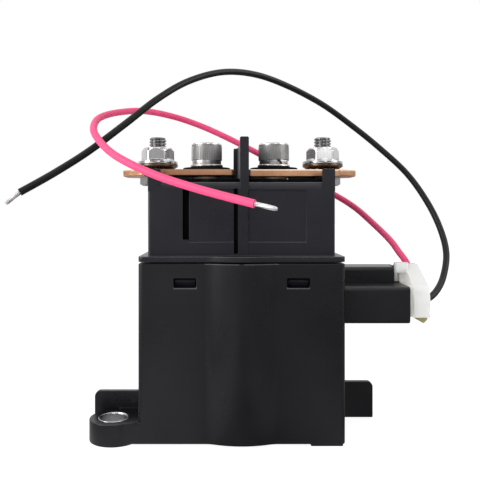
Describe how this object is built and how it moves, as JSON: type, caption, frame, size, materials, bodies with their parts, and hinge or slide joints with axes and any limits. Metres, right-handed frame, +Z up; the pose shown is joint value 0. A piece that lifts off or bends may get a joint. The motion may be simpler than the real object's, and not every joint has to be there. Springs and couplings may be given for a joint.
{
  "type": "starter solenoid",
  "caption": "Boxed starter solenoid with two copper bars on studs, a side plug with two leads, and a sprung armature that lifts a contact bridge.",
  "frame": {"origin": "middle of the mounting plane, halfway between the two mounting holes", "axes": "+Z up, along the armature and the studs; +X to the right, towards the coil plug; +Y away from the front"},
  "size_m": [0.1414, 0.085, 0.1217],
  "materials": {
    "housing_plastic": "satin charcoal",
    "bar_copper": "bright copper",
    "bright_zinc": "bright plated",
    "stainless": "plain",
    "black_fibre": "matt",
    "bush_steel": "turned",
    "white_nylon": "milky",
    "olive_nylon": "milky",
    "terminal_brass": "tinned brass",
    "winding_copper": "enamelled",
    "bobbin_plastic": "matt",
    "magnet_iron": "zinc plated",
    "ferrite": "matt",
    "spring_steel": "plain",
    "black_insulation": "satin",
    "red_insulation": "satin",
    "tinned_strand": "tinned"
  },
  "bodies": {
    "housing": {"base_housing": "housing_plastic", "contact_cover": "housing_plastic", "busbar_left": "bar_copper", "busbar_right": "bar_copper", "terminal_bolt_left": "bright_zinc", "terminal_bolt_right": "bright_zinc", "tooth_washer_left": "bright_zinc", "tooth_washer_right": "bright_zinc", "terminal_nut_left": "bright_zinc", "terminal_nut_right": "bright_zinc", "contact_screw_left": "stainless", "contact_screw_right": "stainless", "lock_washer_left": "stainless", "lock_washer_right": "stainless", "plain_washer_left": "stainless", "plain_washer_right": "stainless", "fibre_washer_left": "black_fibre", "fibre_washer_right": "black_fibre", "fixed_contact_left": "bar_copper", "fixed_contact_right": "bar_copper", "mounting_bush_front": "bush_steel", "mounting_bush_rear": "bush_steel", "connector_plug": "white_nylon", "plug_retainer": "olive_nylon", "plug_terminals": "terminal_brass", "coil_pins": "terminal_brass", "coil_leads": "winding_copper", "coil_bobbin": "bobbin_plastic", "coil_winding": "winding_copper", "fixed_core": "magnet_iron", "yoke_frame": "magnet_iron", "yoke_plate": "magnet_iron", "chamber_plate": "bobbin_plastic", "arc_magnet_front": "ferrite", "arc_magnet_rear": "ferrite", "return_spring": "spring_steel", "black_lead": "black_insulation", "red_lead": "red_insulation", "black_lead_core": "tinned_strand", "red_lead_core": "tinned_strand"},
    "armature": {"armature": "magnet_iron", "push_rod": "stainless", "spring_seat": "stainless", "bridge_clip": "stainless", "contact_spring": "spring_steel"},
    "bridge": {"contact_bridge": "bar_copper"}
  },
  "joints": [
    {"name": "armature_slide", "type": "slide", "parent": "housing", "child": "armature", "axis": [0, 0, 1], "range_m": [0, 0.0025], "stiffness_N_per_m": 1000, "springref_m": -0.003, "deforming": ["return_spring"]},
    {"name": "bridge_lag", "type": "slide", "parent": "armature", "child": "bridge", "axis": [0, 0, 1], "range_m": [-0.0005, 0], "deforming": ["contact_spring"]}
  ],
  "couplings": [
    {"joint": "bridge_lag", "follows": "armature_slide", "ratio": -0.2}
  ]
}
